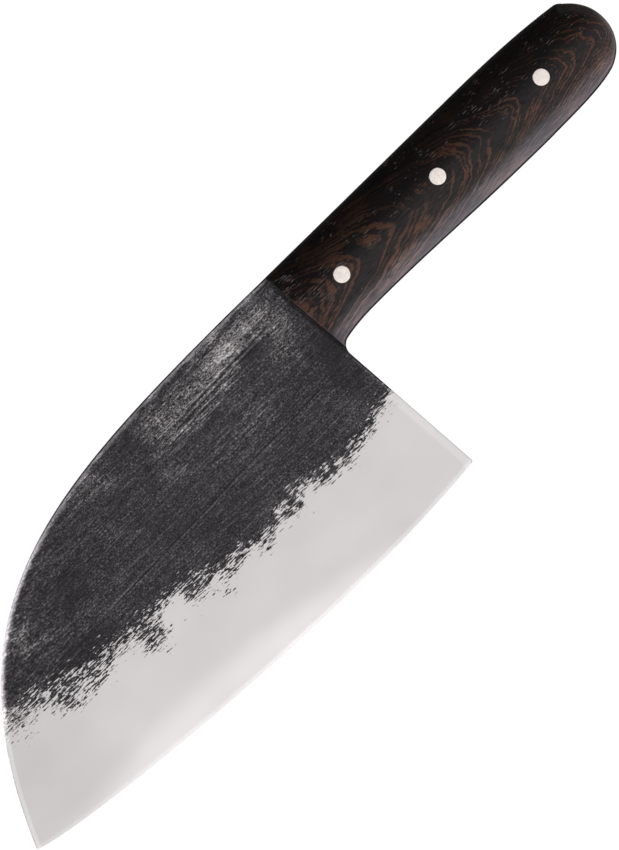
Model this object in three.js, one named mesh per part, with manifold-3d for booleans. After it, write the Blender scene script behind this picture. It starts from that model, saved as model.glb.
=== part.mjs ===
// A full-tang meat cleaver: one forging that is both blade and tang, two wooden handle scales, each
// bedded on a film of cured glue, and three steel pins through the stack.
//
// Millimetres. The blade stands in the XZ plane as it is held at work: -X towards the tip, +X towards
// the butt of the handle, +Z towards the spine, and Y across the thickness, with +Y on the right of
// the hand that holds it. The origin is the centre of the middle pin, in the palm of the grip.

import * as THREE from 'three';
import { mergeVertices } from 'three/addons/utils/BufferGeometryUtils.js';
import Module from 'manifold-3d';

// ---- Driving dimensions ----

const bladeLength = 179.6; // tip to the front of the scales
const gripLength = 135.7; // front of the scales to the butt
const gripFront = -62; // x of the scales' front, measured at the back of the grip
const backHeight = 15.45; // height of the spine above the pins
const edgeDepth = 75.7; // lowest point of the cutting edge below the pins

const bladeThickness = 4;
const handleThickness = 20;
const filmThickness = 0.16; // cured glue between the tang and a scale
const bondGap = 0.02; // clearance that keeps a film's two faces free of its neighbours

const pinDiameter = 5.5;
const pinCentres = {
	pin_front: [ -43.65, -1 ],
	pin_middle: [ 0, 0 ],
	pin_rear: [ 45.65, -0.4 ]
};
const pinFit = 0.05; // radial clearance of a pin in a scale
const filmFit = 0.1; // radial clearance of a pin in a glue film
const tangFit = 0.15; // radial clearance of a pin in the tang

const grindHeight = 36; // where the ground bevel meets the flat flank, above the edge
const grindCrown = 0.18; // how far the ground bevel bulges past a straight one, half-way up
const honeHeight = 1.2; // height of the honed bevel
const honeThickness = 0.7; // blade thickness where the honed bevel starts
const edgeThickness = 0.16;

const roundWidth = 6.5; // how far a scale's rounded shoulder reaches in from its outline
const roundDepth = 7; // how far the shoulder drops from the scale's outer face

const curveSteps = 14; // straight facets to each curve of an outline
const shoulderSteps = 6;
const pinSides = 32;

// ---- Values that follow from them ----

const tipX = gripFront - bladeLength;
const buttX = gripFront + gripLength;
const scaleFace = handleThickness / 2; // y of a scale's outer face
const scaleBed = bladeThickness / 2 + filmThickness + 2 * bondGap; // y of its inner face

// ---- The outline, as [ x, z ] ----

const spineBend = [ - 80, backHeight ]; // the spine runs straight from the butt to here, then drops
const spineDrop = [[ - 161, 14.5 ], [ - 210.5, 11 ], [ tipX, - 64 ]];
const tipCorner = [ tipX, - 64.6 ];
const edgeSweep = [[ - 225.5, - 70.3 ], [ - 120, - edgeDepth - 4.4 ]]; // controls from the tip to the heel
const heelCorner = [ - 55, - 73.1 ];
const heelRound = 0.9; // the heel's corner is broken by about this much
const heelLean = THREE.MathUtils.degToRad( 4.2 ); // the heel's face leans back by this
const fillet = { x: - 55.2, z: - 20.6, radius: 4, end: THREE.MathUtils.degToRad( 97 ) };
const belly = [
	[[ - 50, - 15.5 ], [ - 45, - 15.3 ], [ - 36, - 15.3 ]],
	[[ - 10, - 15.3 ], [ 0, - 16.6 ], [ 35, - 16.45 ]],
	[[ 45, - 16.1 ], [ 57, - 16.4 ], [ 64.5, - 14 ]]
];
const butt = [
	[[ 70.5, - 11.6 ], [ buttX, - 6.5 ], [ buttX, - 0.8 ]],
	[[ buttX, 4.8 ], [ 71.1, 8.8 ], [ 67.6, 11.6 ]]
];
const buttShoulder = [ 65, 13.45 ]; // the back meets the butt at an eased corner
const back = [[ 55, 14.7 ], [ 45, 15.55 ], [ 25, 15.65 ]];

// The scales end forward at this line, which leans with the heel.
const frontTop = [ gripFront, backHeight ];
const frontBottom = [ - 58.7, - 18.4 ];

function curve( path, [ first, second, last ] ) {

	path.bezierCurveTo( ...first, ...second, ...last );

}

// The grip's edge: up round the fillet under the heel, along the belly, round the butt, along the back.
function traceGrip( path ) {

	path.absarc( fillet.x, fillet.z, fillet.radius, Math.PI + heelLean, fillet.end, true );
	belly.forEach( ( points ) => curve( path, points ) );
	butt.forEach( ( points ) => curve( path, points ) );
	path.lineTo( ...buttShoulder );
	curve( path, back );

}

function forgingOutline() {

	const shape = new THREE.Shape();
	const [ heelX, heelZ ] = heelCorner;
	shape.moveTo( ...spineBend );
	curve( shape, spineDrop );
	shape.lineTo( ...tipCorner );
	curve( shape, [ ...edgeSweep, [ heelX - heelRound, heelZ ] ] );
	shape.quadraticCurveTo( heelX, heelZ, heelX - heelRound * Math.tan( heelLean ), heelZ + heelRound );
	traceGrip( shape );
	return shape;

}

// The scales' outline runs on past their front, where the front face is then cut.
function scaleOutline() {

	const beyondFront = gripFront - 2 * roundWidth;
	const belowFillet = - 40;
	const shape = new THREE.Shape();
	shape.moveTo( beyondFront, backHeight );
	shape.lineTo( beyondFront, belowFillet );
	shape.lineTo( fillet.x - fillet.radius, belowFillet );
	traceGrip( shape );
	return shape;

}

// ---- Solids ----

const wasm = await Module();
wasm.setup();

function solidFrom( geometry ) {

	const bare = geometry.clone();
	bare.deleteAttribute( 'normal' );
	bare.deleteAttribute( 'uv' );
	const welded = mergeVertices( bare );
	return new wasm.Manifold( new wasm.Mesh( {
		numProp: 3,
		vertProperties: welded.attributes.position.array,
		triVerts: new Uint32Array( welded.index.array )
	} ) );

}

function geometryFrom( solid ) {

	const { vertProperties, triVerts } = solid.getMesh();
	const geometry = new THREE.BufferGeometry();
	geometry.setAttribute( 'position', new THREE.BufferAttribute( vertProperties, 3 ) );
	geometry.setIndex( new THREE.BufferAttribute( triVerts, 1 ) );
	geometry.computeVertexNormals();
	return geometry;

}

// Stands an extrusion up: its outline goes to the XZ plane and its depth to Y, centred on middleY.
function plate( shape, thickness, middleY = 0, shoulder = {} ) {

	const straight = thickness - 2 * ( shoulder.bevelThickness ?? 0 );
	const geometry = new THREE.ExtrudeGeometry( shape, {
		depth: straight,
		curveSegments: curveSteps,
		bevelEnabled: false,
		...shoulder
	} );
	geometry.translate( 0, 0, - straight / 2 );
	geometry.rotateX( Math.PI / 2 );
	geometry.translate( 0, middleY, 0 );
	return geometry;

}

function pinHoles( radius ) {

	return Object.values( pinCentres ).map( ( [ x, z ] ) => {

		const hole = new THREE.CylinderGeometry( radius, radius, 2 * handleThickness, pinSides );
		hole.translate( x, 0, z );
		return solidFrom( hole );

	} );

}

function drilled( solid, radius ) {

	return pinHoles( radius ).reduce( ( left, hole ) => left.subtract( hole ), solid );

}

// A closed solid through rings of equal length, each one a convex outline that goes the same way round.
function loft( rings ) {

	const count = rings[ 0 ].length;
	const index = [];
	for ( let ring = 0; ring < rings.length - 1; ring ++ ) {

		for ( let i = 0; i < count; i ++ ) {

			const a = ring * count + i;
			const b = ring * count + ( i + 1 ) % count;
			index.push( a, b, a + count, b, b + count, a + count );

		}

	}

	const last = ( rings.length - 1 ) * count;
	for ( let i = 1; i < count - 1; i ++ ) {

		index.push( 0, i + 1, i, last, last + i, last + i + 1 );

	}

	const geometry = new THREE.BufferGeometry();
	geometry.setAttribute( 'position', new THREE.Float32BufferAttribute( rings.flat( 2 ), 3 ) );
	geometry.setIndex( index );
	return geometry;

}

// The blade's section, which follows the cutting edge: honed bevel, ground bevel, then flat flanks. It
// runs a little below the edge, above the spine and past both ends, where the outline cuts it.
function sectionSolid() {

	const beyond = 20;
	const top = backHeight + beyond;
	const flank = bladeThickness / 2;
	const hone = honeThickness / 2;
	const honeSlope = ( honeThickness - edgeThickness ) / 2 / honeHeight;
	const keel = ( edgeThickness / 2 ) / honeSlope;
	const crown = ( hone + flank ) / 2 + grindCrown;
	const crownHeight = ( honeHeight + grindHeight ) / 2;

	const sweep = new THREE.CubicBezierCurve(
		...[ tipCorner, ...edgeSweep, heelCorner ].map( ( point ) => new THREE.Vector2( ...point ) )
	);
	const stations = sweep.getPoints( 2 * curveSteps );
	stations.unshift( new THREE.Vector2( tipX - beyond, tipCorner[ 1 ] ) );
	stations.push( new THREE.Vector2( buttX + beyond, heelCorner[ 1 ] ) );

	return loft( stations.map( ( { x, y: edge } ) => [
		[ x, 0, edge - keel ],
		[ x, hone, edge + honeHeight ],
		[ x, crown, edge + crownHeight ],
		[ x, flank, edge + grindHeight ],
		[ x, flank, top ],
		[ x, - flank, top ],
		[ x, - flank, edge + grindHeight ],
		[ x, - crown, edge + crownHeight ],
		[ x, - hone, edge + honeHeight ]
	] ) );

}

function bladeAndTang() {

	const outline = solidFrom( plate( forgingOutline(), 2 * bladeThickness ) );
	const forging = outline.intersect( solidFrom( sectionSolid() ) );
	return geometryFrom( drilled( forging, pinDiameter / 2 + tangFit ) );

}

// What lies behind the scales' front line, between two distances from the middle plane.
// side is 1 on the right and -1 on the left.
function gripSlab( side, inner, outer ) {

	const beyond = 10;
	const shape = new THREE.Shape();
	shape.moveTo( ...frontBottom );
	shape.lineTo( buttX + beyond, frontBottom[ 1 ] );
	shape.lineTo( buttX + beyond, backHeight + beyond );
	shape.lineTo( gripFront - beyond * Math.sin( heelLean ), backHeight + beyond );
	shape.lineTo( ...frontTop );
	return solidFrom( plate( shape, outer - inner, side * ( inner + outer ) / 2 ) );

}

function handleScale( side ) {

	const pad = solidFrom( plate( scaleOutline(), handleThickness, 0, {
		bevelEnabled: true,
		bevelThickness: roundDepth,
		bevelSize: roundWidth,
		bevelOffset: - roundWidth,
		bevelSegments: shoulderSteps
	} ) );
	const half = pad.intersect( gripSlab( side, scaleBed, handleThickness ) );
	return geometryFrom( drilled( half, pinDiameter / 2 + pinFit ) );

}

function glueFilm( side ) {

	const inner = bladeThickness / 2 + bondGap;
	const outline = solidFrom( plate( scaleOutline(), handleThickness ) );
	const film = outline.intersect( gripSlab( side, inner, inner + filmThickness ) );
	return geometryFrom( drilled( film, pinDiameter / 2 + filmFit ) );

}

// ---- Materials ----

const steel = new THREE.MeshStandardMaterial( { color: 0x7c7b7d, roughness: 0.45, metalness: 0.9 } );
const wood = new THREE.MeshStandardMaterial( { color: 0x2e2019, roughness: 0.55, metalness: 0 } );
const glue = new THREE.MeshStandardMaterial( { color: 0x15110e, roughness: 0.4, metalness: 0 } );
const pinSteel = new THREE.MeshStandardMaterial( { color: 0xe2ddd7, roughness: 0.25, metalness: 1 } );

// ---- The assembly ----

const group = new THREE.Group();

function add( name, geometry, material, parent = group ) {

	const mesh = new THREE.Mesh( geometry, material.clone() );
	mesh.name = name;
	parent.add( mesh );
	return mesh;

}

add( 'blade_and_tang', bladeAndTang(), steel );

for ( const [ name, side ] of [[ 'left', - 1 ], [ 'right', 1 ]] ) {

	add( `scale_${ name }`, handleScale( side ), wood );
	add( `glue_film_${ name }`, glueFilm( side ), glue );

}

for ( const [ name, [ x, z ] ] of Object.entries( pinCentres ) ) {

	const shank = new THREE.CylinderGeometry( pinDiameter / 2, pinDiameter / 2, 2 * scaleFace, pinSides );
	add( name, shank, pinSteel ).position.set( x, 0, z );

}

export default group;
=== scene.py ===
import math

import bpy
import numpy as np
from mathutils import Matrix, Vector, noise
from mathutils.geometry import delaunay_2d_cdt


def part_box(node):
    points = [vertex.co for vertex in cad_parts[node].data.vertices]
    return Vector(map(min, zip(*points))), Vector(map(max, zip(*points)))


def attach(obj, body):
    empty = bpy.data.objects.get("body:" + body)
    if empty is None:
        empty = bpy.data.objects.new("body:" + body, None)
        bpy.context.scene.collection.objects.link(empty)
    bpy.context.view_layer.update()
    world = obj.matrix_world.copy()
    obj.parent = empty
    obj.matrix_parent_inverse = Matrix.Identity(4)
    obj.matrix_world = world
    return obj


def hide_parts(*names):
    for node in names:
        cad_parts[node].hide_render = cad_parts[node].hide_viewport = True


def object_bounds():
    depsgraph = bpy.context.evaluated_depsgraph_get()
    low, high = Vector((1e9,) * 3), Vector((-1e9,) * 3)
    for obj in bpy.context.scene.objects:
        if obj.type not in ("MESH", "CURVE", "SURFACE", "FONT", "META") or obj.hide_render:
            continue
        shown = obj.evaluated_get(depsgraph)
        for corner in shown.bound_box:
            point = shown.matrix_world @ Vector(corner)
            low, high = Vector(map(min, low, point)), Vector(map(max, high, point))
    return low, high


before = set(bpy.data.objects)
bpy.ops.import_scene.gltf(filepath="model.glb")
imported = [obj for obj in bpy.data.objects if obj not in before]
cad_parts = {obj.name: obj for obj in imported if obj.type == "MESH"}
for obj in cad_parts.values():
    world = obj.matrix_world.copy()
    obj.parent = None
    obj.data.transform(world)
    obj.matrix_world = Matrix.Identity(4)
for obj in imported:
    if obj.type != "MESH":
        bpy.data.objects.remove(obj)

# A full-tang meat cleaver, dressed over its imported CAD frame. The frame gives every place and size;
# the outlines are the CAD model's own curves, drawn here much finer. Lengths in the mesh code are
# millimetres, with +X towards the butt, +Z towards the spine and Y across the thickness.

MM = 0.001
CAD_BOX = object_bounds()


# ---- Sizes, from the frame ----

def box_mm(node):
    """A CAD node's box, as its low and high corners in millimetres."""
    low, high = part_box(node)
    return np.array(low) / MM, np.array(high) / MM


def pin_place(name):
    """A pin's centre as (x, z), and its radius."""
    low, high = box_mm(name)
    middle = (low + high) / 2
    return (middle[0], middle[2]), (high[0] - low[0]) / 2


FORGING_LOW, FORGING_HIGH = box_mm("blade_and_tang")
SCALE_LOW, SCALE_HIGH = box_mm("scale_right")
FILM_LOW, FILM_HIGH = box_mm("glue_film_right")
PINS = ("pin_front", "pin_middle", "pin_rear")

TIP_X = FORGING_LOW[0]
BUTT_X = FORGING_HIGH[0]
GRIP_X = SCALE_LOW[0]  # the scales' foremost point, at the top of their leaning front
BACK_SWELL = 0.2  # how far the grip's back rises above the spine
BACK_Z = FORGING_HIGH[2] - BACK_SWELL  # the spine, and the grip's back at the front of the scales
FLANK = FORGING_HIGH[1]  # half the blade's thickness
BED = SCALE_LOW[1]  # inner face of a scale
FACE = SCALE_HIGH[1]  # outer face of a scale

# The blade: a honed and a ground bevel rise from the edge, and hammer marks fade in up the second.
HONE_HEIGHT = 1.2
HONE = 0.35  # half the thickness where the honed bevel starts
EDGE = 0.05  # half the thickness of the edge itself
THINNEST_EDGE = EDGE * 0.6  # the least that rounding and taper leave of it
GRIND_HEIGHT = 36.0
GRIND_CROWN = 0.18
SPINE_ROUND = 0.45
HEEL_ROUND = 0.3
HEEL_STRIP = 3  # along the heel the faces fall away over this width
HEEL_STRIP_DEPTH = 0.12
FORGED_DEPTH = 0.05  # the forged faces lie this far inside the flanks, and roll about that depth
WAVE_SIZE, WAVE_DEPTH = 17, 0.09
DENT_SIZE, DENT_DEPTH = 5, 0.035
TIP_TAPER = 0.22  # share of its thickness that the blade loses between these two places
TAPER_START, TAPER_END = -150, TIP_X - 20
TANG_BLEND = 3  # the blade's surface fades into the tang's over this length, each way

# The scales: flat faces with rounded shoulders, slightly crowned.
SHOULDER_WIDTH = 6.5
SHOULDER_DEPTH = 7.0
CROWN = 0.6  # fall of a scale's face at CROWN_REACH above and below its middle
CROWN_REACH = 10.0
CROWN_LIMIT = 1.2  # past this many reaches the face falls no further
MID_Z = -0.6  # the grip's middle height
RIPPLE_SIZE, RIPPLE_DEPTH = 14, 0.03
CHAMFER_WIDTH = 0.45  # of the front's small chamfer
CHAMFER_SLOPE = 0.9
THINNEST_RIM = 0.3

# The gaps round the pins, in each piece that they pass through.
TANG_CLEARANCE = 0.15
FILM_CLEARANCE = 0.1
SCALE_CLEARANCE = 0.06

# The pins' ends.
PIN_DOME = 0.05
PIN_EASE = 0.14

# How fine the meshes are: spacing of their points, and sides of a pin or a hole.
CURVE_STEP = 0.6
ARC_STEP = 0.3
FORGING_SPACING = 1.15
SCALE_SPACING = 1.3
FILM_SPACING = 4.0
ROUND_SIDES = 72
CREASE = 34  # degrees; a sharper corner is shaded as an edge
PIN_CREASE = 50
AT_ONCE = 1500  # points whose distances are worked out together


# ---- Flat curves ----

def bezier(start, *controls):
    """Points after start along a cubic curve, about CURVE_STEP apart."""
    points = np.array([start, *controls], float)
    rough = np.linalg.norm(np.diff(points, axis=0), axis=1).sum()
    t = np.linspace(0, 1, max(3, round(rough / CURVE_STEP)) + 1)[1:, None]
    weights = ((1 - t) ** 3, 3 * (1 - t) ** 2 * t, 3 * (1 - t) * t**2, t**3)
    return sum(w * p for w, p in zip(weights, points))


def straight(start, end):
    """Points after start along a straight line, about CURVE_STEP apart."""
    start, end = np.array(start, float), np.array(end, float)
    length = np.linalg.norm(end - start)
    t = np.linspace(0, 1, max(1, round(length / CURVE_STEP)) + 1)[1:, None]
    return start + (end - start) * t


def arc(centre, radius, start, end):
    """Points along an arc, both ends included; angles in degrees."""
    count = max(3, round(abs(math.radians(end - start)) * radius / ARC_STEP))
    a = np.radians(np.linspace(start, end, count + 1))[:, None]
    return np.array(centre) + radius * np.hstack((np.cos(a), np.sin(a)))


def run(start, *parts):
    """Joins stretches, each a function of the point where the last one ended."""
    points = np.array([start], float)
    for part in parts:
        points = np.vstack((points, part(points[-1])))
    return points


def to_line(*end):
    return lambda start: straight(start, end)


def to_curve(*controls):
    return lambda start: bezier(start, *controls)


# ---- The outline, anticlockwise from the tip as [x, z] ----

TIP = (TIP_X, -64.6)
HEEL = (-55.0, -73.1)
HEEL_EASE = 0.9  # how far its corner is rounded, each way
HEEL_LEAN = 4.2  # degrees
FILLET = (-55.2, -20.6)  # centre of the hollow where the heel runs into the grip's belly
FILLET_RADIUS = 4.0
FILLET_END = 97  # degrees
FILLET_ARC = arc(FILLET, FILLET_RADIUS, 180 + HEEL_LEAN, FILLET_END)
FRONT_BOTTOM = (-58.7, SCALE_LOW[2])  # lower end of the scales' leaning front
BEND = (-80, BACK_Z)  # where the spine starts to sweep down
BUTT_CORNER = (66.4, 12.6)  # near the corner between the butt and the back


def grip_run(start):
    """The belly, the butt and the back, as far forward as the front of the scales."""
    return run(
        start,
        to_curve((-50, -15.5), (-45, -15.3), (-36, -15.3)),
        to_curve((-10, -15.3), (0, -16.6), (35, -16.45)),
        to_curve((45, -16.1), (57, -16.4), (64.5, -14)),
        to_curve((70.5, -11.6), (BUTT_X, -6.5), (BUTT_X, -0.8)),
        to_curve((BUTT_X, 4.8), (71.1, 8.8), (67.6, 11.6)),
        to_curve((67.0, 12.2), (66.1, 13.25), (65, 13.45)),
        to_curve((55, 14.7), (45, 15.55), (25, 15.65)),
        to_line(GRIP_X, BACK_Z),
    )


def forging_runs():
    """The forging's outline in four runs, each starting where the last one ends."""
    lean = math.tan(math.radians(HEEL_LEAN))
    heel_x, heel_z = HEEL
    edge = run(TIP, to_curve((-225.5, -70.3), (-120, -80.1), (heel_x - HEEL_EASE, heel_z)))
    ease_end = (heel_x - HEEL_EASE * lean, heel_z + HEEL_EASE)
    heel = run(
        edge[-1],
        to_curve((heel_x - 0.3, heel_z), (heel_x, heel_z + 0.3), ease_end),
        to_line(*FILLET_ARC[0]),
        lambda end: FILLET_ARC[1:],
    )
    grip = grip_run(heel[-1])
    spine = run(
        grip[-1],
        to_line(*BEND),
        to_curve((-161, 14.5), (-210.5, 11), (TIP_X, -64.0)),
        to_line(*TIP),
    )
    return {"edge": edge, "heel": heel, "grip": grip, "spine": spine}


def closed(runs):
    """One ring of points from runs that follow each other end to end."""
    return np.vstack([points[:-1] for points in runs])


# ---- Plates: a flat outline, filled with fine triangles and given a thickness at every point ----

def distance_to(points, line):
    """Each point's distance to a run of points."""
    start, along = line[:-1], np.diff(line, axis=0)
    length2 = np.maximum((along**2).sum(1), 1e-12)
    found = []
    for i in range(0, len(points), AT_ONCE):
        off = points[i : i + AT_ONCE, None, :] - start[None]
        t = np.clip((off * along).sum(2) / length2, 0, 1)
        found.append(np.sqrt(((off - t[:, :, None] * along) ** 2).sum(2).min(1)))
    return np.concatenate(found)


def nearest(points, others):
    """Each point's distance to the nearest of some others."""
    found = []
    for i in range(0, len(points), AT_ONCE):
        off = points[i : i + AT_ONCE, None, :] - others[None]
        found.append(np.sqrt((off**2).sum(2).min(1)))
    return np.concatenate(found) if found else np.zeros(0)


def ring_of(points):
    """An outline's points, with the first one again at the end."""
    return np.vstack((points, points[:1]))


def inset_rows(line, depths):
    """Rows of points inside a run, at each depth; the outline goes anticlockwise."""
    along = np.gradient(line, axis=0)
    along /= np.linalg.norm(along, axis=1)[:, None]
    inward = np.column_stack((-along[:, 1], along[:, 0]))
    return [line + inward * depth for depth in depths]


def grid_inside(outline, spacing):
    """A triangular grid of points inside an outline."""
    ends = np.roll(outline, -1, axis=0)
    low, high = outline.min(0), outline.max(0)
    found = []
    for row, z in enumerate(np.arange(low[1] + spacing / 3, high[1], spacing * math.sqrt(3) / 2)):
        crossed = (outline[:, 1] > z) != (ends[:, 1] > z)
        a, b = outline[crossed], ends[crossed]
        cuts = np.sort(a[:, 0] + (z - a[:, 1]) * (b[:, 0] - a[:, 0]) / (b[:, 1] - a[:, 1]))
        xs = np.arange(low[0] + (row % 2) * spacing / 2, high[0], spacing)
        xs = xs[np.searchsorted(cuts, xs) % 2 == 1]
        found.append(np.column_stack((xs, np.full(len(xs), z))))
    return np.vstack(found)


def pin_holes(clearance):
    """The rims of the three pin holes, clockwise so that the material is on their left."""
    a = -np.linspace(0, 2 * math.pi, ROUND_SIDES, endpoint=False)
    rim = np.column_stack((np.cos(a), np.sin(a)))
    return [np.array(centre) + (radius + clearance) * rim for centre, radius in map(pin_place, PINS)]


def outside_hole(points, hole, share):
    """Whether each point lies further from a hole's centre than a share of its radius."""
    centre = hole.mean(0)
    radius = np.linalg.norm(hole[0] - centre)
    return np.linalg.norm(points - centre, axis=1) > radius * share


def fill(outline, holes, rows, spacing):
    """Points and triangles that fill an outline around its holes. The rims' points come first."""
    rims = [outline, *holes]
    rim_points = np.vstack(rims)
    clear = spacing * 0.55  # the grid's points keep this far from the others
    # a row's point stays only where it is that row's depth inside the whole outline
    inner = [row[distance_to(row, ring_of(outline)) > depth * 0.97] for row, depth in rows]
    deepest = max((depth for _, depth in rows), default=0)
    grid = grid_inside(outline, spacing)
    grid = grid[distance_to(grid, ring_of(outline)) > clear]
    if inner:
        placed = np.vstack(inner)
        near = distance_to(grid, ring_of(outline)) < deepest + clear
        kept = ~near
        kept[near] = nearest(grid[near], placed) > clear
        grid = grid[kept]
    points = np.vstack([rim_points, *inner, grid])
    # no point lies inside a hole, or so near its rim that triangles there would be slivers
    for hole in holes:
        keep = outside_hole(points, hole, 1.12)
        keep[: len(rim_points)] = True
        points = points[keep]
    edges, first = [], 0
    for rim in rims:
        count = len(rim)
        edges += [(first + i, first + (i + 1) % count) for i in range(count)]
        first += count
    made = delaunay_2d_cdt([Vector(p) for p in points], edges, [], 1, 1e-6)
    flat = np.array([tuple(v) for v in made[0]])
    if len(flat) != len(points):
        raise ValueError("two of the points lie on each other")
    triangles = np.array(made[2])
    middle = flat[triangles].mean(1)
    for hole in holes:
        outside = outside_hole(middle, hole, 0.999)
        triangles, middle = triangles[outside], middle[outside]
    a, b, c = (flat[triangles[:, i]] for i in range(3))
    turn = np.cross(b - a, c - a)
    triangles[turn < 0] = triangles[turn < 0][:, ::-1]
    return flat, triangles, edges


def plate(name, outline, holes, rows, spacing, left, right, marks=None):
    """A closed piece over an outline. left and right give y for every point of its two faces,
    and marks gives named distances that the materials read."""
    flat, triangles, edges = fill(outline, holes, rows, spacing)
    count = len(flat)
    faces_y = (left(flat), right(flat))
    sides = [np.column_stack((flat[:, 0], y, flat[:, 1])) for y in faces_y]
    walls = [(i, i + count, j + count, j) for i, j in edges]
    faces = [*triangles.tolist(), *(triangles[:, ::-1] + count).tolist(), *walls]
    mesh = bpy.data.meshes.new(name)
    mesh.from_pydata((np.vstack(sides) * MM).tolist(), [], faces)
    for mark, values in (marks(flat) if marks else {}).items():
        layer = mesh.attributes.new(mark, "FLOAT", "POINT")
        layer.data.foreach_set("value", np.tile(values, 2).astype(np.float32))
    return piece(name, mesh, CREASE)


def piece(name, mesh, crease):
    """An object in the scene from a mesh, smooth except at creases of more than so many degrees."""
    mesh.validate()
    mesh.polygons.foreach_set("use_smooth", [True] * len(mesh.polygons))
    mesh.set_sharp_from_angle(angle=math.radians(crease))
    made = bpy.data.objects.new(name, mesh)
    bpy.context.scene.collection.objects.link(made)
    return made


def eased_distance(points, lines):
    """Distance to the nearest of some runs, with no crease where two are equally near."""
    power = 4
    total = sum(np.maximum(distance_to(points, line), 1e-6) ** -power for line in lines)
    return total ** (-1 / power)


def quarter_round(distance, radius):
    """How far a face has dropped at a distance from an edge that is rounded to a radius."""
    reach = np.clip(radius - distance, 0, radius)
    return radius - np.sqrt(np.maximum(radius**2 - reach**2, 0))


def smooth_noise(points, size, seed):
    """A smooth roll about 0 whose waves measure about size mm."""
    return np.array([noise.noise(Vector((x / size, z / size, seed))) for x, z in points])


def smooth_step(low, high, values):
    """Smooth change from 0 at low to 1 at high; low may be the larger."""
    t = np.clip((values - low) / (high - low), 0, 1)
    return t * t * (3 - 2 * t)


# ---- The forging: blade and tang in one ----

# Where the forge scale gives way to ground steel, as (x, z).
FORGE_SCALE_LIMIT = (
    (-242, -28), (-224, -30.5), (-214, -31.5), (-206, -32), (-195, -36), (-184, -37), (-172, -38.5),
    (-160, -38), (-150, -40), (-142, -40.5), (-135, -44.5), (-127.5, -42.7), (-120, -46),
    (-114, -44), (-110, -41.5), (-101, -41.5), (-89, -44.5), (-76, -44), (-70, -43), (-60, -39.5),
)


def forging():
    """Blade and tang, with marks for each point's distance to what its look depends on."""
    runs = forging_runs()
    outline = closed(runs.values())
    holes = pin_holes(TANG_CLEARANCE)
    row_depths = {
        "edge": (0.4, 0.8, 1.13, 1.27, 1.8, 2.6),
        "heel": (0.06, 0.14, 0.24, 0.36, 0.7, 1.4, 2.2, 3.0),
        "spine": (0.07, 0.15, 0.25, 0.36, 0.5, 0.9),
        "grip": (0.1, 0.5),
    }
    rows = [
        (row, depth)
        for name, depths in row_depths.items()
        for row, depth in zip(inset_rows(runs[name], depths), depths)
    ]
    edge_line = runs["edge"]
    steel_rim = np.vstack((runs["spine"], runs["spine"][-1:]))

    def height(points):
        return points[:, 1] - np.interp(points[:, 0], edge_line[:, 0], edge_line[:, 1])

    def thickness(seed):
        """A function that gives one face's distance from the blade's middle plane."""
        def half(points):
            up = height(points)
            share = np.clip((up - HONE_HEIGHT) / (GRIND_HEIGHT - HONE_HEIGHT), 0, 1)
            ground = HONE + (FLANK - HONE) * share + 4 * GRIND_CROWN * share * (1 - share)
            honed = EDGE + (HONE - EDGE) * np.clip(up / HONE_HEIGHT, 0, 1)
            y = np.where(up < HONE_HEIGHT, honed, np.minimum(ground, FLANK))
            in_tang = smooth_step(GRIP_X - TANG_BLEND, GRIP_X + TANG_BLEND, points[:, 0])
            forged = smooth_step(0.55, 1.0, share) * (1 - in_tang)
            y -= forged * (FORGED_DEPTH + WAVE_DEPTH * smooth_noise(points, WAVE_SIZE, seed))
            y -= forged * DENT_DEPTH * smooth_noise(points, DENT_SIZE, seed + 7)
            taper = smooth_step(TAPER_START, TAPER_END, points[:, 0])
            y *= 1 - TIP_TAPER * taper
            worn = 1 + 0.5 * smooth_noise(points, 6, seed + 3)
            y -= quarter_round(distance_to(points, steel_rim), SPINE_ROUND * worn) * (1 - in_tang)
            from_heel = distance_to(points, runs["heel"])
            y -= quarter_round(from_heel, HEEL_ROUND * np.clip(up / 3, 0.1, 1))
            strip = np.clip(1 - from_heel / HEEL_STRIP, 0, 1)
            strip = strip * smooth_step(0, 4, up) * (1 - in_tang)
            y -= HEEL_STRIP_DEPTH * strip**2
            return np.maximum(y, THINNEST_EDGE)
        return half

    def marks(points):
        line_x, line_z = np.array(FORGE_SCALE_LIMIT, float).T
        return {
            "height": height(points),
            "ground": np.interp(points[:, 0], line_x, line_z) - points[:, 1],
            "spine": distance_to(points, steel_rim),
            "heel": distance_to(points, runs["heel"]),
            "grip": distance_to(points, runs["grip"]),
        }

    left, right = thickness(3.1), thickness(57.7)
    return plate(
        "forging", outline, holes, rows, FORGING_SPACING,
        lambda points: -left(points), right, marks,
    )


# ---- The handle ----

def handle_runs():
    """The grip's outline, and the leaning front line that closes it."""
    start = np.array(FRONT_BOTTOM)
    least_rise = 0.2  # keeps the fillet's first point clear of the front's lower end
    up_fillet = FILLET_ARC[FILLET_ARC[:, 1] > start[1] + least_rise]
    sides = np.vstack((start[None], up_fillet, grip_run(up_fillet[-1])[1:]))
    front = run(sides[-1], to_line(*start))
    return sides, front


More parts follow.
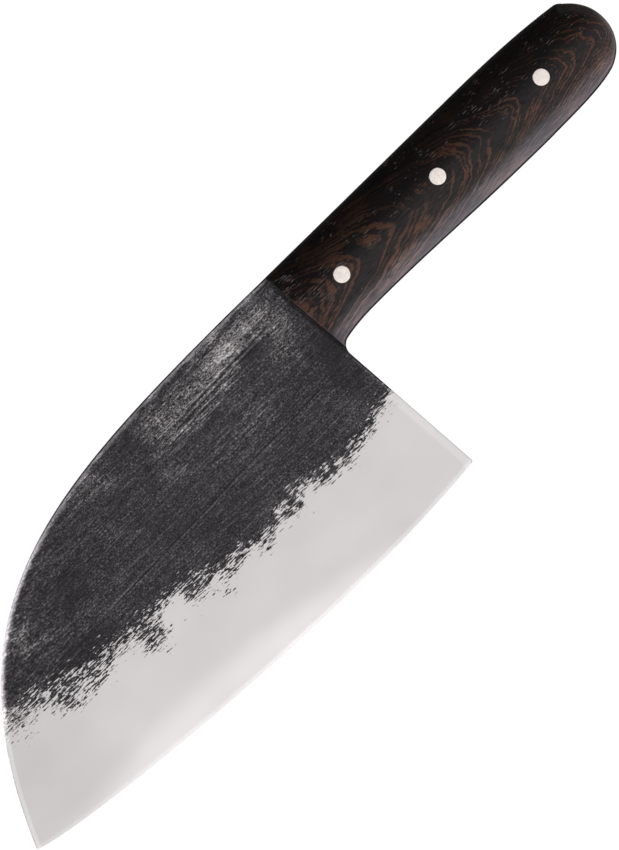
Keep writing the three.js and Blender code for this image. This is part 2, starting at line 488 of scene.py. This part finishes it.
def handle_scale(name, side):
    """One wooden scale; side is -1 for the left one and 1 for the right one."""
    sides, front = handle_runs()
    outline = closed((sides, front))
    holes = pin_holes(SCALE_CLEARANCE)
    turns = np.radians(np.linspace(0, 90, 12))[1:]
    shoulder = SHOULDER_WIDTH * (1 - np.cos(turns))
    chamfer = (0.12, 0.3, 0.45, 0.6)
    rows = list(zip(inset_rows(sides, shoulder), shoulder))
    rows += list(zip(inset_rows(front, chamfer), chamfer))
    seed = 11.3 if side > 0 else 29.9
    corner = np.hypot(*(sides - BUTT_CORNER).T).argmin()
    belly_and_butt, back = sides[: corner + 1], sides[corner:]

    def marks(points):
        return {"rim": distance_to(points, sides), "front": distance_to(points, front)}

    def outer(points):
        from_rim = eased_distance(points, (belly_and_butt, back))
        reach = np.clip(1 - from_rim / SHOULDER_WIDTH, 0, 1)
        y = FACE - SHOULDER_DEPTH * (1 - np.sqrt(np.maximum(1 - reach**2, 0)))
        y -= CROWN * np.minimum(np.abs(points[:, 1] - MID_Z) / CROWN_REACH, CROWN_LIMIT) ** 2
        y -= np.clip(CHAMFER_WIDTH - distance_to(points, front), 0, 1) * CHAMFER_SLOPE
        y += RIPPLE_DEPTH * smooth_noise(points, RIPPLE_SIZE, seed) - RIPPLE_DEPTH
        return side * np.maximum(y, BED + THINNEST_RIM)

    def inner(points):
        return np.full(len(points), side * BED)

    left, right = (outer, inner) if side < 0 else (inner, outer)
    return plate(name, outline, holes, rows, SCALE_SPACING, left, right, marks)


def glue_film(name, side):
    """The flat film between a scale and the tang."""
    outline = closed(handle_runs())
    holes = pin_holes(FILM_CLEARANCE)
    near, far = sorted((side * FILM_LOW[1], side * FILM_HIGH[1]))
    return plate(
        name, outline, holes, [], FILM_SPACING,
        lambda points: np.full(len(points), near),
        lambda points: np.full(len(points), far),
    )


def pin(name):
    """A pin turned from its profile: a shank with eased rims and slightly domed, polished ends."""
    (x, z), radius = pin_place(name)
    reach = box_mm(name)[1][1] - PIN_DOME
    distances = np.linspace(0, radius - PIN_EASE, 9)
    end = [(d, reach + PIN_DOME * (1 - (d / radius) ** 2)) for d in distances]
    ease_turns = np.radians(np.linspace(15, 90, 6))
    end += [
        (radius - PIN_EASE + PIN_EASE * math.sin(a), end[-1][1] - PIN_EASE + PIN_EASE * math.cos(a))
        for a in ease_turns
    ]
    profile = end + [(d, -y) for d, y in reversed(end)]
    sides = ROUND_SIDES
    turn = np.linspace(0, 2 * math.pi, sides, endpoint=False)
    rings = profile[1:-1]
    points = [(x, profile[0][1], z)]
    points += [
        (x + d * math.cos(a), y, z + d * math.sin(a)) for d, y in rings for a in turn
    ]
    points.append((x, profile[-1][1], z))
    faces = []
    for i in range(sides):
        j = (i + 1) % sides
        faces.append((0, 1 + i, 1 + j))
        for ring in range(len(rings) - 1):
            a, b = 1 + ring * sides, 1 + (ring + 1) * sides
            faces.append((a + i, b + i, b + j, a + j))
        last = 1 + (len(rings) - 1) * sides
        faces.append((last + j, last + i, len(points) - 1))
    mesh = bpy.data.meshes.new(name + "_turned")
    mesh.from_pydata((np.array(points) * MM).tolist(), [], [f[::-1] for f in faces])
    return piece(name + "_turned", mesh, PIN_CREASE)


# ---- Materials ----

def srgb(red, green, blue):
    """A linear colour from 8-bit sRGB values."""
    def linear(value):
        value /= 255
        return value / 12.92 if value <= 0.04045 else ((value + 0.055) / 1.055) ** 2.4
    return (linear(red), linear(green), linear(blue), 1.0)


class Graph:
    """One material's nodes. Every argument is a socket or a plain value; places are in mm."""

    def __init__(self, name):
        self.material = bpy.data.materials.new(name)
        self.material.use_nodes = True
        self.tree = self.material.node_tree
        self.tree.nodes.clear()
        place = self.add("TexCoord", output="Object")
        self.place = self.add("VectorMath", {0: place, 1: (1 / MM,) * 3}, operation="MULTIPLY")
        split = self.add("SeparateXYZ", {0: self.place}).node
        self.x, self.y, self.z = split.outputs

    def add(self, kind, inputs=None, output=0, **settings):
        """A new node's output; inputs gives its sockets values or other nodes' outputs."""
        node = self.tree.nodes.new("ShaderNode" + kind)
        for key, value in settings.items():
            setattr(node, key, value)
        for key, value in (inputs or {}).items():
            self.feed(node.inputs[key], value)
        return node.outputs[output]

    def feed(self, socket, value):
        if isinstance(value, bpy.types.NodeSocket):
            self.tree.links.new(value, socket)
        else:
            socket.default_value = value

    def math(self, operation, a, b=0.0):
        return self.add("Math", {0: a, 1: b}, operation=operation)

    def plus(self, *terms):
        total = terms[0]
        for term in terms[1:]:
            total = self.math("ADD", total, term)
        return total

    def minus(self, a, b):
        return self.math("SUBTRACT", a, b)

    def times(self, *factors):
        total = factors[0]
        for factor in factors[1:]:
            total = self.math("MULTIPLY", total, factor)
        return total

    def size(self, value):
        return self.math("ABSOLUTE", value)

    def larger(self, a, b):
        return self.math("MAXIMUM", a, b)

    def step(self, value, low, high, start=0.0, end=1.0):
        """Smooth change from start to end as value goes from low to high."""
        return self.add(
            "MapRange", {0: value, 1: low, 2: high, 3: start, 4: end},
            interpolation_type="SMOOTHSTEP",
        )

    def mark(self, name):
        """A distance in mm that the mesh carries at each point."""
        return self.add("Attribute", output="Fac", attribute_name=name)

    def noise(self, size, detail=3.0, roughness=0.55, seed=0.0, place=None):
        """Noise round 0, seldom beyond 0.25 either way, whose features measure about size mm."""
        scaled = self.add(
            "VectorMath",
            {0: place or self.place, 1: tuple(1 / s for s in size), 2: (seed, seed * 1.7, -seed)},
            operation="MULTIPLY_ADD",
        )
        value = self.add("TexNoise", {
            "Vector": scaled, "Scale": 1.0, "Detail": detail, "Roughness": roughness,
        })
        return self.minus(value, 0.5)

    def spots(self, places, ragged=0.0):
        """Ellipses with soft, ragged rims. Each is x, z, half width, half height and amount."""
        total = 0.0
        shift_x = self.times(self.noise((8, 6, 5), seed=12), ragged)
        shift_z = self.times(self.noise((6, 6, 4), seed=13), ragged * 0.7)
        for x, z, width, height, amount in places:
            across = self.times(self.plus(self.x, shift_x, -x), 1 / width)
            along = self.times(self.plus(self.z, shift_z, -z), 1 / height)
            off = self.plus(self.times(across, across), self.times(along, along))
            total = self.plus(total, self.step(off, 0.0, 1.0, amount, 0.0))
        return total

    def ramp(self, value, *stops):
        """Colours at positions: (position, colour) pairs."""
        socket = self.add("ValToRGB", {0: value})
        elements = socket.node.color_ramp.elements
        while len(elements) < len(stops):
            elements.new(0.5)
        for element, (position, colour) in zip(elements, stops):
            element.position = position
            element.color = colour
        return socket

    def greys(self, tone, tint=(1.0, 1.0, 1.0)):
        """A grey as bright as tone, which goes from 0 to 1 on the sRGB scale."""
        levels = (0, 24, 48, 72, 100, 130, 165, 205, 255)
        return self.ramp(tone, *((v / 255, srgb(*(v * share for share in tint))) for v in levels))

    def mix(self, factor, a, b):
        """Colour a where factor is 0, and colour b where it is 1."""
        return self.add("Mix", {0: factor, 6: a, 7: b}, output=2, data_type="RGBA")

    def bump(self, height, distance, strength=1.0):
        """Relief: a height of 1 stands for distance metres."""
        return self.add("Bump", {"Height": height, "Distance": distance, "Strength": strength})

    def finish(self, **inputs):
        """The finished material; an input's name has a _ for each space in the socket's."""
        shader = self.add("BsdfPrincipled", {k.replace("_", " "): v for k, v in inputs.items()})
        output = self.tree.nodes.new("ShaderNodeOutputMaterial")
        self.tree.links.new(shader, output.inputs["Surface"])
        return self.material


# Where the forge scale is rubbed thin, or thick and dark: x, z, half width, half height, amount.
RUBBED = (
    (-88, 9, 15, 8, 0.6),
    (-87, 7.5, 7, 4, 0.5),
    (-108, 2, 26, 8, 0.42),
    (-71, 9, 12, 10, 0.36),
    (-70, -4, 12, 9, 0.3),
    (-118, 9, 22, 5, 0.25),
    (-125, 14.5, 30, 2.5, -0.4),
    (-150, 5, 16, 7, 0.25),
    (-198, -12, 6, 8, 0.4),
    (-219, -29, 9, 7, 0.6),
    (-128, -9, 14, 8, 0.22),
    (-98, -18, 18, 10, 0.2),
    (-180, -12, 16, 12, -0.25),
    (-186, -30, 16, 7, -0.35),
    (-149, -2, 7, 6, -0.2),
    (-131, 6, 7, 6, -0.25),
    (-64, -20, 6, 22, -0.3),
)

# Where flecks of scale reach further down into the ground steel, in mm; less than 0 is cleaner.
LEFTOVER = (
    (-219, -33, 8, 5, 1.5),
    (-201, -41, 10, 10, 5),
    (-189, -41, 8, 7, 3),
    (-181, -43, 8, 5, -3),
    (-167, -44, 8, 8, 5.5),
    (-163, -50, 7, 4, 4),
    (-156.5, -40, 5, 6, -5),
    (-146, -43, 7, 6, 2.5),
    (-140.5, -49.5, 5, 4, 5.6),
    (-107, -46, 6, 7, 4),
    (-85, -46, 12, 4, 1),
)

# Where the scale has flaked off, in the rubbed patch under the spine.
FLAKED = ((-88, 8.2, 6, 4, 1.0),)

# Long scratches in the forge scale: x and z of the middle, slope, half length, half width, tone.
SCRATCHES = (
    (-117, -24.0, 0.04, 60, 0.2, -0.12),
    (-117, -24.7, 0.04, 56, 0.16, 0.07),
    (-98, 3.5, 0.045, 30, 0.18, 0.16),
    (-97, 2.7, 0.045, 29, 0.22, -0.2),
    (-100, 1.8, 0.04, 25, 0.18, 0.15),
    (-100, 1.0, 0.04, 25, 0.22, -0.19),
    (-104, -0.4, 0.03, 20, 0.18, 0.13),
    (-106, -1.2, 0.03, 20, 0.2, -0.14),
    (-86, 5.1, 0.045, 16, 0.2, -0.2),
    (-112, -3.4, 0.015, 16, 0.16, 0.12),
    (-148, -20.5, 0.012, 24, 0.16, 0.09),
    (-176, -8.0, 0.0, 18, 0.18, -0.08),
    (-165, -25.4, 0.03, 22, 0.18, 0.08),
    (-78, -33.0, 0.02, 15, 0.16, 0.08),
)


def scratch_layer(graph):
    """Signed tone of all the long scratches together."""
    total = 0.0
    wobble = graph.times(graph.noise((30, 4, 30), detail=1), 1.6)
    for x, z, slope, reach, width, tone in SCRATCHES:
        along = graph.minus(graph.x, x)
        line = graph.plus(graph.times(along, slope), z, wobble)
        off = graph.size(graph.minus(graph.z, line))
        across = graph.step(off, width * 0.5, width * 1.3, tone, 0.0)
        ends = graph.step(graph.size(along), reach * 0.5, reach, 1.0, 0.0)
        total = graph.plus(total, graph.times(across, ends))
    return graph.times(total, graph.step(graph.noise((7, 1, 1.5)), -0.25, 0.02, 0.4, 1.2))


def wood_front_x(graph):
    """How far back the blade shows at each height: where the wood's leaning front lies."""
    lean = (FRONT_BOTTOM[0] - GRIP_X) / (BACK_Z - FRONT_BOTTOM[1])
    return graph.plus(graph.times(graph.minus(BACK_Z, graph.z), lean), GRIP_X)


def forged_steel():
    g = Graph("forged_steel")
    from_spine = g.mark("spine")
    from_heel = g.mark("heel")

    # the ragged lower limit of the forge scale, breaking up into dashes that follow the blade
    spread = g.step(g.x, -150, -125, 1.0, 0.62)
    ragged = g.plus(
        g.minus(g.mark("ground"), g.spots(LEFTOVER, 6)),
        g.times(g.noise((5, 3, 3.5), detail=2, seed=1), 11),
        g.times(g.noise((3.4, 1.0, 0.38), detail=1, roughness=0.5, seed=3), spread, 21),
        g.times(g.noise((1.0, 0.4, 0.36), detail=1, seed=7), spread, 14),
    )
    bare = g.step(ragged, -1.6, 0.2)

    # the scale itself: blotches, a fine lengthwise grain and longer streaks, paler where rubbed
    cloud = g.noise((20, 9, 13), detail=3, roughness=0.6)
    rubbed = g.plus(g.spots(RUBBED, 22), g.times(cloud, 0.8), 0.06)
    thick = g.step(rubbed, -0.02, -0.3)
    rubbed = g.step(rubbed, -0.1, 0.9, 0.0, 0.95)
    grain = g.noise((0.8, 0.45, 0.3), detail=1, roughness=0.6, seed=2)
    streak = g.noise((7.0, 1.5, 0.34), detail=2, roughness=0.7, seed=4)
    blotch = g.noise((2.6, 1.5, 1.8), detail=3, roughness=0.65, seed=9)
    texture = g.plus(g.times(grain, 14), g.times(streak, 6), g.times(blotch, 4))
    stroke = g.step(streak, 0.04, 0.11)
    worn = g.step(g.plus(rubbed, g.times(texture, 0.2)), 0.52, 0.8)
    scratches = scratch_layer(g)
    pitted = g.noise((2.6, 1.3, 1.5), detail=3, roughness=0.6, seed=15)
    pits = g.times(g.step(pitted, 0.05, 0.1), rubbed, -0.22)
    flaked = g.step(g.spots(FLAKED, 5), 0.3, 0.42)
    flaked = g.times(flaked, g.step(g.noise((1.6, 1, 0.8), detail=2, seed=18), 0.12, 0.04), 0.05)
    rim_wear = g.plus(from_spine, g.times(g.noise((5, 2, 1.4), detail=3, roughness=0.65, seed=21), 3.5))
    # painted shadow: the span behind the tip where the spine's edge is painted dark, as if in shade
    painted_spine_shadow_span = g.step(g.x, -185, -160)
    tone = g.plus(
        0.19,
        g.times(rubbed, 0.17),
        g.times(thick, -0.03),
        g.times(texture, g.plus(g.times(rubbed, 0.03), g.times(thick, -0.02), 0.046)),
        g.times(worn, g.plus(g.times(rubbed, 0.12), 0.05)),
        g.times(stroke, g.plus(g.times(rubbed, 0.13), 0.03)),
        scratches,
        pits,
        flaked,
        # along the spine: a painted reflection that makes it pale at the tip, ragged wear all along,
        # and a painted shadow, a dark outline behind the tip
        g.times(g.step(from_spine, 0.3, 1.6, 0.42, 0.0), g.step(g.x, -150, -190)),
        g.step(rim_wear, 0.9, 2.2, 0.26, 0.0),
        g.times(g.step(from_spine, 0.3, 0.6, -0.3, 0.0), painted_spine_shadow_span),
        # along the heel: a pale strip with a dark outline, and shade where the wood begins
        g.times(g.step(from_heel, 0.7, 1.4, 0.12, 0.0), g.step(g.z, -21, -26)),
        g.step(from_heel, 0.25, 0.5, -0.2, 0.0),
        g.step(g.minus(wood_front_x(g), g.x), 0.9, 1.9, -0.08, 0.0),
    )
    tone = g.larger(tone, 0.11)
    scale_colour = g.mix(rubbed, g.greys(tone, (1.0, 0.972, 1.0)), g.greys(tone, (1.0, 0.985, 0.975)))

    # ground steel: even and satin, with soft clouds, and a painted highlight: a paler sweep along the
    # middle of the edge
    haze = g.noise((30, 14, 20), detail=2, seed=6)
    height = g.mark("height")
    off_sweep = g.times(g.plus(g.x, 160), 1 / 22)
    sweep = g.plus(height, g.times(off_sweep, off_sweep), -10.5)
    bright = g.plus(
        0.795,
        g.times(haze, 0.08),
        g.step(g.x, -190, -225, 0.0, -0.03),
        # painted highlight: paler where the sweep lies
        g.step(sweep, -6, 4, 0.065, 0.0),
        # the honed bevel, the strip along the heel with its dark outline, and the rim of the spine
        g.step(height, 1.3, 1.05, 0.0, -0.02),
        g.step(from_heel, 3.4, 2.2, 0.0, 0.03),
        g.step(from_heel, 0.12, 0.42, -0.14, 0.0),
        g.step(from_spine, 1.9, 1.4, 0.0, 0.06),
    )
    steel_colour = g.greys(bright, (1.0, 0.986, 0.98))

    # corners rubbed bright, and the tang's rim sanded flush with the handle
    wear = g.noise((4, 2, 2), seed=3)
    on_face = g.step(g.size(g.y), 0.4, 1.2)
    corner = g.times(g.step(from_spine, 0.15, 0.7, 0.3, 0.0), g.step(wear, -0.15, 0.1), on_face)
    corner = g.times(corner, g.minus(1.0, painted_spine_shadow_span))
    tang = g.step(g.mark("grip"), 0.1, 0.3, 0.93, 0.0)
    bare = g.larger(bare, g.larger(corner, tang))

    rough_scale = g.step(tone, 0.15, 0.6, 0.58, 0.4)
    rough_steel = g.plus(g.times(haze, 0.12), 0.3)
    dark = g.minus(1.0, bare)
    relief = g.plus(
        g.times(g.plus(g.times(texture, 0.16), g.times(scratches, 1.2), 0.5), dark),
        g.times(haze, bare, 0.1),
    )
    return g.finish(
        Base_Color=g.mix(bare, scale_colour, steel_colour),
        Metallic=g.step(bare, 0.0, 1.0, 0.8, 1.0),
        Roughness=g.plus(g.times(rough_scale, dark), g.times(rough_steel, bare)),
        Normal=g.bump(relief, 0.00005, 0.8),
    )


RING_BEND = 0.19  # how fast a growth ring's arch falls back from its tip, per mm off its axis
RING_DEPTH = 1.6  # mm that an arch's tip shifts along the handle for each mm into the wood

# Where the wood's figure is plainer (less than 0) or stronger, and where its pores crowd.
FIGURE = ((46, 0, 16, 14, -0.25), (-32, 3, 30, 12, 0.1), (-57, -2, 10, 12, 0.08))
PORE_CROWDS = ((-56, 2, 14, 15, 0.1), (-53, -6, 9, 8, 0.06), (25, 8, 34, 6, 0.03))


def wenge():
    """Dark wood sawn so that its growth rings show as arches that point towards the butt."""
    g = Graph("wenge")
    fibre = g.noise((3.5, 0.3, 0.26), detail=3, roughness=0.65, seed=4)
    off_axis = g.plus(g.z, 0.8, g.times(g.noise((40, 30, 30), detail=1, seed=2), 8))
    tip = g.plus(
        g.x,
        g.times(off_axis, off_axis, RING_BEND),
        g.times(g.minus(FACE, g.size(g.y)), RING_DEPTH),
        g.times(g.noise((14, 10, 8), detail=2, seed=8), 13),
        g.times(g.noise((2.4, 1.6, 1.2), detail=2, seed=1), 2.6),
        g.times(fibre, 2.2),
    )
    # ring number at a tip: the rings lie closer together towards the butt
    ring = g.plus(g.times(tip, 0.36), g.times(tip, tip, 0.0011))
    uneven = g.add("CombineXYZ", {0: ring})
    wave = g.plus(
        g.times(g.math("SINE", g.times(ring, 2 * math.pi)), 0.16),
        g.times(g.noise((1.0, 1, 1), detail=2, roughness=0.6, seed=6, place=uneven), 2.2),
    )
    patch = g.noise((13, 9, 7), detail=3, seed=5)
    blend = g.plus(wave, g.times(patch, 1.3), g.spots(FIGURE, 20), g.times(fibre, 0.5))
    brown = g.times(g.step(blend, 0.02, 0.3), g.step(patch, -0.25, 0.1, 0.45, 1.0))
    # painted shade: the wood is painted darker towards the grip's back, which turns away from the light
    painted_shade = g.step(g.z, -6, 11, 1.0, 0.2)
    mottle = g.noise((1.2, 0.5, 0.4), detail=3, seed=7)
    level = g.times(painted_shade, g.plus(1.0, g.times(mottle, 1.7)))
    dark_wood = g.ramp(level, (0.0, srgb(2, 2, 2)), (0.5, srgb(13, 10, 10)), (1.0, srgb(27, 24, 24)))
    brown_wood = g.ramp(
        level, (0.0, srgb(9, 6, 4)), (0.5, srgb(48, 31, 22)), (1.0, srgb(76, 51, 38))
    )
    warm_wood = g.ramp(
        level, (0.0, srgb(11, 6, 4)), (0.5, srgb(52, 31, 21)), (1.0, srgb(80, 50, 36))
    )
    brown_wood = g.mix(g.step(g.plus(g.x, g.times(patch, 30)), 40, 60), brown_wood, warm_wood)
    colour = g.mix(brown, dark_wood, brown_wood)
    # open pores: short dashes along the grain, some of which have a painted glint on one lip, as if
    # catching the light
    where = g.plus(g.times(g.noise((4, 3, 2), detail=2, seed=3), 0.5), g.spots(PORE_CROWDS, 10))
    dash_size, dash_detail, dash_seed = (2.4, 0.3, 0.26), 1, 11
    lifted = g.add("VectorMath", {0: g.place, 1: (0.1, 0, -0.2)}, operation="ADD")
    dash = g.plus(g.noise(dash_size, dash_detail, seed=dash_seed), where)
    lip = g.plus(g.noise(dash_size, dash_detail, seed=dash_seed, place=lifted), where)
    pores = g.step(dash, 0.13, 0.18)
    painted_glint = g.times(g.step(lip, 0.2, 0.25), g.minus(1.0, pores))
    painted_glint = g.times(painted_glint, g.step(g.noise((10, 8, 6), detail=1, seed=14), -0.1, 0.08))
    colour = g.mix(g.times(pores, 0.9), colour, srgb(7, 5, 5))
    colour = g.mix(g.times(painted_glint, 0.5), colour, srgb(130, 124, 121))
    # painted sheen: the belly is painted paler and grey-purple, as if catching light from below
    in_belly = g.step(g.z, -8, -13.5)
    colour = g.mix(g.times(in_belly, brown, 0.25), colour, srgb(116, 98, 92))
    colour = g.mix(g.step(g.z, -11, -14.5, 0.0, 0.14), colour, srgb(104, 94, 108))
    # the hand has polished the belly and the front's eased edge; the rim at the tang stays dull, and is
    # painted near-black there as painted shade, widest along the belly
    clear_of_dull_shaded_rim = g.step(g.plus(g.mark("rim"), g.step(g.z, -12, -7, 0.0, 0.35)), 0.35, 0.8)
    colour = g.mix(clear_of_dull_shaded_rim, srgb(8, 7, 7), colour)
    front = g.mark("front")
    along_belly = g.step(g.size(g.minus(g.x, 2)), 22, 46, 0.52, 0.34)
    polish = g.plus(g.step(g.z, 5, -4, 0.0, 0.3), g.times(in_belly, along_belly))
    polish = g.times(polish, g.plus(1.0, g.times(fibre, 3.5)), clear_of_dull_shaded_rim, g.step(front, 0, 7, 0.7, 1.0))
    eased_front = g.times(g.step(front, 0.45, 0.2), g.step(g.z, 9, -6, 0.15, 0.75))
    polish = g.larger(polish, eased_front)
    return g.finish(
        Base_Color=colour,
        Roughness=g.plus(g.times(fibre, 0.2), g.times(pores, 0.2), g.step(clear_of_dull_shaded_rim, 0, 1, 0.95, 0.42)),
        Specular_IOR_Level=0.05,
        Coat_Weight=polish,
        Coat_Roughness=0.42,
        Normal=g.bump(g.plus(g.times(pores, -1.0), g.times(fibre, 0.8)), 0.00008, 0.9),
    )


def cured_glue():
    g = Graph("cured_glue")
    mottle = g.noise((1.2, 1.2, 0.8))
    return g.finish(
        Base_Color=g.ramp(g.plus(mottle, 0.5), (0.3, srgb(20, 16, 14)), (0.7, srgb(40, 32, 27))),
        Roughness=g.plus(g.times(mottle, 0.3), 0.45),
        Normal=g.bump(mottle, 0.00003),
    )


def pin_steel():
    g = Graph("pin_steel")
    haze = g.noise((1.4, 1.4, 1.1))
    marks = g.noise((2.5, 1.0, 0.07), detail=2, seed=2)
    return g.finish(
        Base_Color=g.ramp(
            g.plus(g.times(haze, 0.8), g.times(marks, 0.5), 0.5),
            (0.3, srgb(222, 212, 205)),
            (0.7, srgb(240, 231, 224)),
        ),
        Metallic=1.0,
        Roughness=g.plus(g.times(marks, 0.16), g.times(haze, 0.08), 0.24),
        Normal=g.bump(marks, 0.00001, 0.6),
    )


def light_table():
    """A pale floor that glows, so that it stays nearly white where the object shades it."""
    g = Graph("light_table")
    mottle = g.noise((90, 90, 90))
    return g.finish(
        Base_Color=g.ramp(g.plus(mottle, 0.5), (0.3, srgb(186, 186, 186)), (0.7, srgb(190, 190, 190))),
        Roughness=0.8,
        Specular_IOR_Level=0.0,
        Emission_Color=(1.0, 1.0, 1.0, 1.0),
        Emission_Strength=0.72,
    )


# ---- The pieces ----

def dress(made, node, material):
    """Gives a piece its material, its body and its CAD node's place."""
    made.data.materials.append(material)
    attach(made, "root")
    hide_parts(node)


STEEL, WOOD, GLUE, PIN_STEEL = forged_steel(), wenge(), cured_glue(), pin_steel()
dress(forging(), "blade_and_tang", STEEL)
for hand, side in (("left", -1), ("right", 1)):
    dress(handle_scale(f"wenge_scale_{hand}", side), f"scale_{hand}", WOOD)
    dress(glue_film(f"glue_line_{hand}", side), f"glue_film_{hand}", GLUE)
for name in PINS:
    dress(pin(name), name, PIN_STEEL)


# ---- Floor, light and sky ----

FLOOR_RADIUS = 8.0  # metres
FLOOR_SIDES = 96


def make_floor():
    """A wide round floor, level with the lowest point of the cutting edge."""
    z = CAD_BOX[0].z
    turn = np.linspace(0, 2 * math.pi, FLOOR_SIDES, endpoint=False)
    points = [(FLOOR_RADIUS * math.cos(a), FLOOR_RADIUS * math.sin(a), z) for a in turn]
    mesh = bpy.data.meshes.new("floor")
    mesh.from_pydata(points, [], [tuple(range(FLOOR_SIDES))])
    floor = bpy.data.objects.new("floor", mesh)
    bpy.context.scene.collection.objects.link(floor)
    mesh.materials.append(light_table())
    floor.visible_shadow = False


def add_sun(name, towards, strength, angle, colour=(1, 1, 1)):
    """A broad soft light that shines along a direction; its angle is in degrees."""
    light = bpy.data.lights.new(name, "SUN")
    light.color = colour
    light.energy = strength
    light.angle = math.radians(angle)
    holder = bpy.data.objects.new(name, light)
    holder.rotation_mode = "QUATERNION"
    holder.rotation_quaternion = Vector(towards).to_track_quat("-Z", "Y")
    bpy.context.scene.collection.objects.link(holder)


# How pale the sky is at heights that go from 0 at the horizon to 1 overhead.
SKY_LEVELS = ((0.07, 1.0), (0.2, 0.6), (0.4, 0.32), (0.7, 0.17), (1.0, 0.12))
SKY_STRENGTH = 1.05


def make_sky():
    """A studio tent: white round the horizon, greyer overhead."""
    world = bpy.data.worlds.new("studio")
    bpy.context.scene.world = world
    world.use_nodes = True
    tree = world.node_tree
    tree.nodes.clear()
    place = tree.nodes.new("ShaderNodeTexCoord")
    split = tree.nodes.new("ShaderNodeSeparateXYZ")
    ramp = tree.nodes.new("ShaderNodeValToRGB")
    back = tree.nodes.new("ShaderNodeBackground")
    out = tree.nodes.new("ShaderNodeOutputWorld")
    tree.links.new(place.outputs["Generated"], split.inputs[0])
    tree.links.new(split.outputs["Z"], ramp.inputs[0])
    tree.links.new(ramp.outputs[0], back.inputs["Color"])
    tree.links.new(back.outputs[0], out.inputs["Surface"])
    elements = ramp.color_ramp.elements
    while len(elements) < len(SKY_LEVELS):
        elements.new(0.5)
    for element, (height, level) in zip(elements, SKY_LEVELS):
        element.position = height
        element.color = (level, level, level, 1)
    back.inputs["Strength"].default_value = SKY_STRENGTH


make_floor()
make_sky()
for name, side in (("sun_right", -1), ("sun_left", 1)):
    add_sun(name, towards=(side, 0.1, -0.9), strength=1.2, angle=40)
# these two shine up through the light table, and show the roundness of the handle's belly
for name, side in (("glow_front", 1), ("glow_back", -1)):
    add_sun(name, towards=(0, side * 0.5, 0.85), strength=2.2, angle=45, colour=(0.98, 0.89, 1.0))


# ---- Camera ----

ROLL = 44.3  # the handle rises this much across the picture, in degrees
PICTURE = (619, 850)
FILLED = 615 / 619  # share of the picture's width that the object takes
ASIDE = 0.85 / 619  # the object stands this share of the width left of the middle
BELOW = 1.65 / 619  # and this share of it below the middle
LENS = 260  # millimetres, as is the sensor's width
SENSOR = 36


def make_camera():
    """Square-on to the blade, rolled, and framed so that the object fills the picture."""
    turn = math.radians(ROLL)
    right = Vector((math.cos(turn), 0, -math.sin(turn)))
    up = Vector((math.sin(turn), 0, math.cos(turn)))
    corners = [v.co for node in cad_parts.values() for v in node.data.vertices]
    across = [c.dot(right) for c in corners]
    along = [c.dot(up) for c in corners]
    middle = right * (min(across) + max(across)) / 2 + up * (min(along) + max(along)) / 2
    width = (max(across) - min(across)) / FILLED
    middle += (right * ASIDE + up * BELOW) * width
    height = width * PICTURE[1] / PICTURE[0]
    distance = height * LENS / SENSOR
    data = bpy.data.cameras.new("camera")
    data.lens = LENS
    data.sensor_width = SENSOR
    data.clip_end = 100
    camera = bpy.data.objects.new("camera", data)
    camera.matrix_world = Matrix((
        (right.x, up.x, 0, middle.x),
        (right.y, up.y, -1, -distance),
        (right.z, up.z, 0, middle.z),
        (0, 0, 0, 1),
    ))
    bpy.context.scene.collection.objects.link(camera)
    bpy.context.scene.camera = camera


make_camera()
bpy.context.scene.view_settings.view_transform = "Standard"
